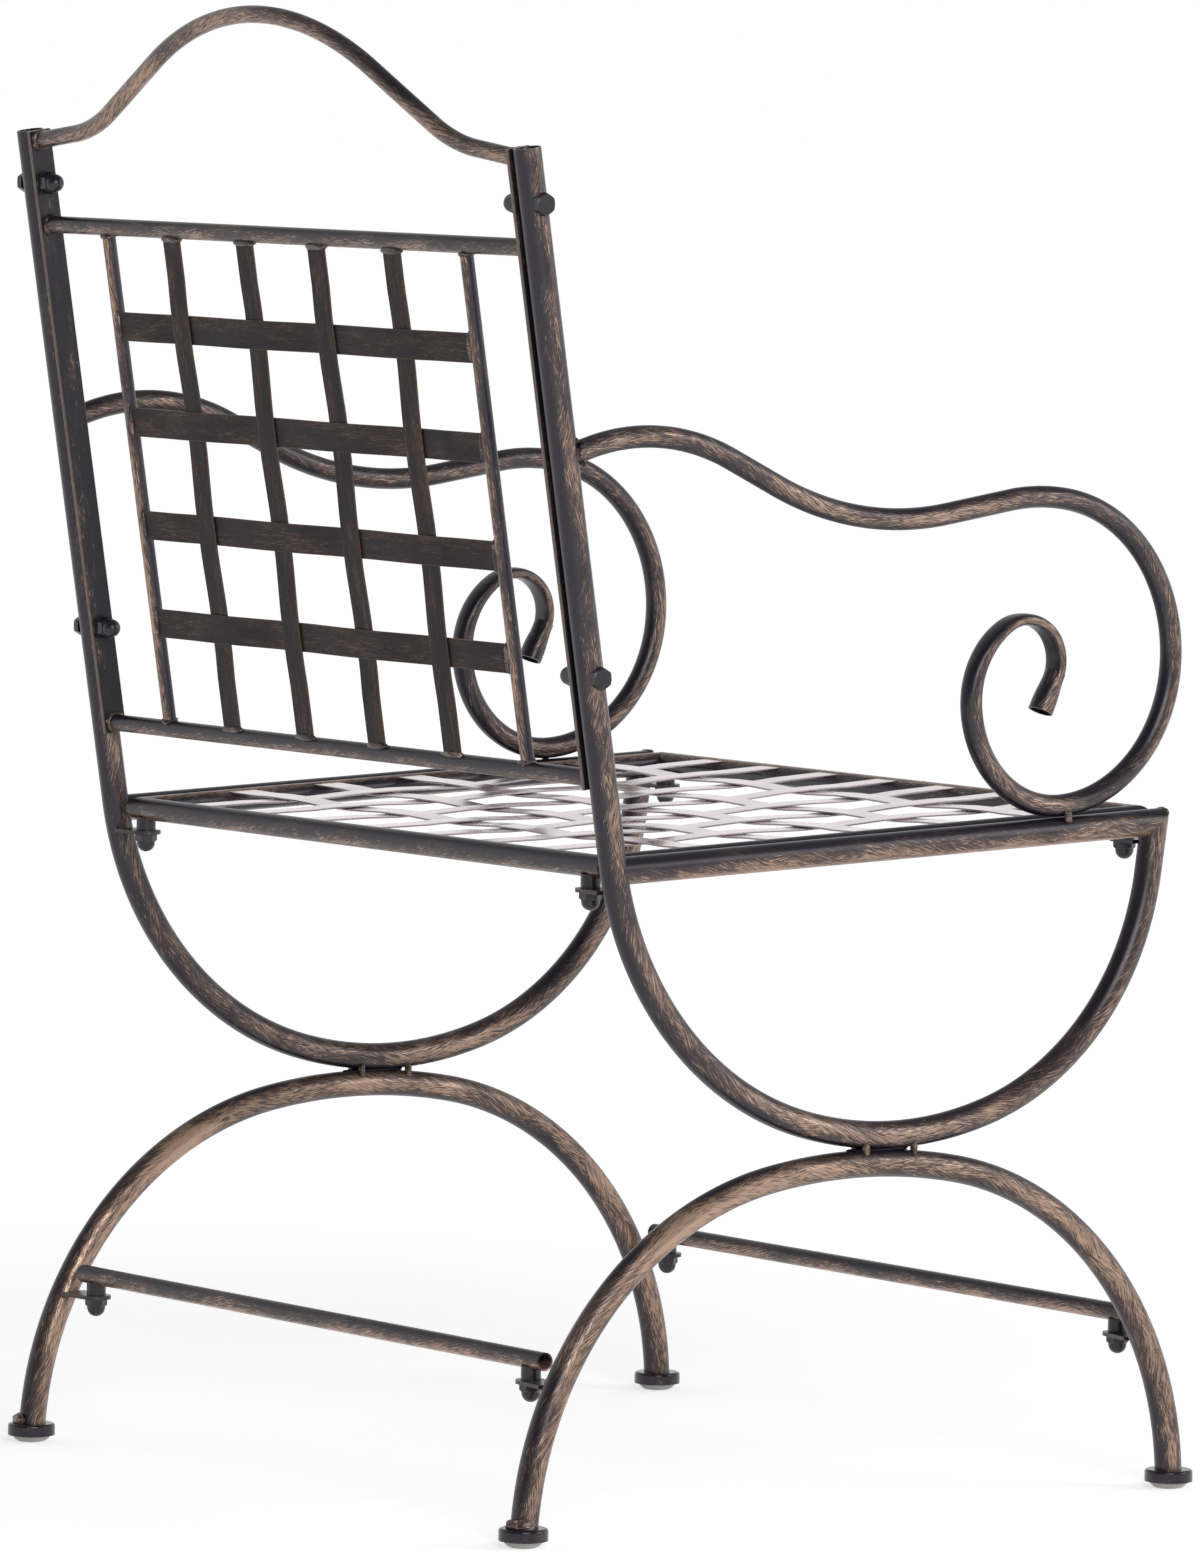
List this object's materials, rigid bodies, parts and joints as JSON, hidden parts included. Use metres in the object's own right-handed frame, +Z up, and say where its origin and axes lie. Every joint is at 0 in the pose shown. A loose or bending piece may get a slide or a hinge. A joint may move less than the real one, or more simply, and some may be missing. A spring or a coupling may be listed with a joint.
{
  "type": "garden armchair",
  "caption": "Outdoor armchair of bent round tube with scroll arms, arched legs, a raised crest rail and a woven strap seat and back.",
  "frame": {"origin": "on the ground, at the middle of the chair's bounding box in X and Y", "axes": "+Z up, the chair faces -Y, +X to the seated person's left"},
  "size_m": [0.607, 0.5697, 0.9734],
  "materials": {
    "coated_steel": "satin black coating brushed over with antique bronze",
    "glide_plastic": "matte"
  },
  "bodies": {
    "root": {"post_tube_left": "coated_steel", "post_tube_right": "coated_steel", "side_rail_left": "coated_steel", "side_rail_right": "coated_steel", "leg_arch_left": "coated_steel", "leg_arch_right": "coated_steel", "arm_left": "coated_steel", "arm_right": "coated_steel", "rear_seat_tab_left": "coated_steel", "rear_seat_tab_right": "coated_steel", "front_seat_tab_left": "coated_steel", "front_seat_tab_right": "coated_steel", "rear_stretcher_tab_left": "coated_steel", "rear_stretcher_tab_right": "coated_steel", "front_stretcher_tab_left": "coated_steel", "front_stretcher_tab_right": "coated_steel", "foot_cups": "coated_steel", "foot_glides": "glide_plastic", "weld_tacks": "coated_steel", "stile_left": "coated_steel", "stile_right": "coated_steel", "crest_rail": "coated_steel", "top_rail": "coated_steel", "bottom_rail": "coated_steel", "rod_left": "coated_steel", "rod_right": "coated_steel", "back_upright_1": "coated_steel", "back_upright_2": "coated_steel", "back_upright_3": "coated_steel", "back_upright_4": "coated_steel", "back_cross_1": "coated_steel", "back_cross_2": "coated_steel", "back_cross_3": "coated_steel", "back_cross_4": "coated_steel", "seat_rear_rail": "coated_steel", "seat_front_rail": "coated_steel", "seat_left_rail": "coated_steel", "seat_right_rail": "coated_steel", "seat_long_1": "coated_steel", "seat_long_2": "coated_steel", "seat_long_3": "coated_steel", "seat_long_4": "coated_steel", "seat_long_5": "coated_steel", "seat_long_6": "coated_steel", "seat_long_7": "coated_steel", "seat_cross_1": "coated_steel", "seat_cross_2": "coated_steel", "seat_cross_3": "coated_steel", "seat_cross_4": "coated_steel", "seat_cross_5": "coated_steel", "rear_stretcher": "coated_steel", "front_stretcher": "coated_steel", "spacer_bosses": "coated_steel", "joint_studs": "coated_steel", "joint_cap_nuts": "coated_steel", "back_bolts": "coated_steel", "back_washers": "coated_steel", "back_cap_nuts": "coated_steel"}
  },
  "joints": []
}
